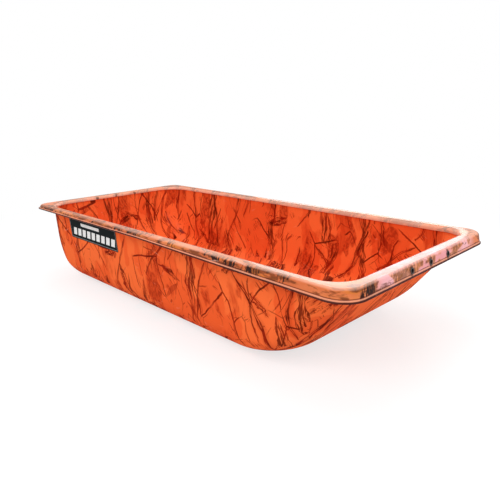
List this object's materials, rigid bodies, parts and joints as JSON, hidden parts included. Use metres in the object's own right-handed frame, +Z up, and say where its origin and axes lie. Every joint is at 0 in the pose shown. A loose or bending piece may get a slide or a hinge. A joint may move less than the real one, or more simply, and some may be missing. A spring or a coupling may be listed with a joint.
{
  "type": "ice fishing sled",
  "caption": "Long open plastic tub sled with a raked bow, a rolled rim lip, runner channels, tow eyelets in the bow rim and side labels.",
  "frame": {"origin": "centre of the footprint of the whole sled, on the ground plane under the runners", "axes": "+X to the bow (the raked end with the tow eyelets), +Y to the sled's left-hand side, +Z up"},
  "size_m": [1.372, 0.635, 0.261],
  "materials": {
    "tub_plastic": "glossy moulded polyethylene, blaze orange with a printed pattern of dark stalks and soft blotches",
    "lip_plastic": "glossy pale salmon polyethylene with brown smears of the same print",
    "eyelet_metal": "black painted",
    "label_film": "black satin vinyl"
  },
  "bodies": {
    "root": {"hull_tub": "tub_plastic", "rim_lip": "lip_plastic", "tow_eyelet_right": "eyelet_metal", "tow_eyelet_centre": "eyelet_metal", "tow_eyelet_left": "eyelet_metal", "tow_eyelet_washer_right": "eyelet_metal", "tow_eyelet_washer_centre": "eyelet_metal", "tow_eyelet_washer_left": "eyelet_metal", "side_label_right": "label_film", "side_label_left": "label_film"}
  },
  "joints": []
}
